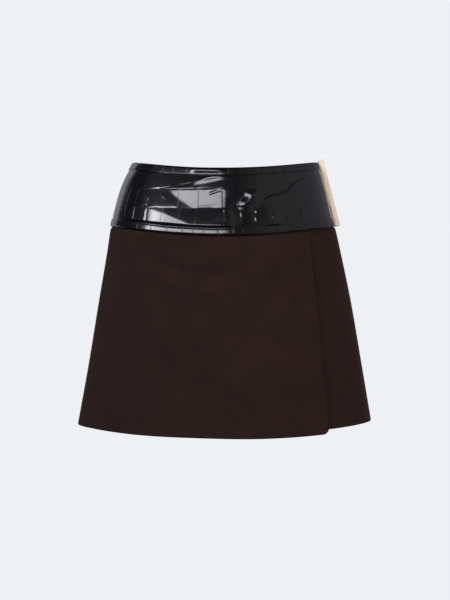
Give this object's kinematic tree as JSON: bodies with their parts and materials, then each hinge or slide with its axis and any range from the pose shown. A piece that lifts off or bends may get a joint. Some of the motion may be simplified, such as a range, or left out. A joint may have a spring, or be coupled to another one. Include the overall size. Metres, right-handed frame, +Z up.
{
  "type": "wool wrap skirt",
  "caption": "Short A-line wool wrap skirt with a deep embossed leather waistband and a metal bar at the hip, filled out and hollow.",
  "frame": {"origin": "middle of the waist opening, level with the bar's shoulder just above the waistband's top edge at the sides, where the wearer holds the skirt up", "axes": "+Z up along the wearer's body, -Y the front, +X the wearer's left"},
  "size_m": [0.4332, 0.2975, 0.4025],
  "materials": {
    "wool": "matt, close brushed wool",
    "leather": "patent gloss with an embossed square scale",
    "metal": "satin pale gold"
  },
  "bodies": {
    "root": {"front_wrap_panel": "wool", "front_underlap_panel": "wool", "back_panel": "wool", "waistband_front": "leather", "waistband_back": "leather", "binding_top": "leather", "binding_foot": "leather", "side_bar": "metal"}
  },
  "joints": []
}
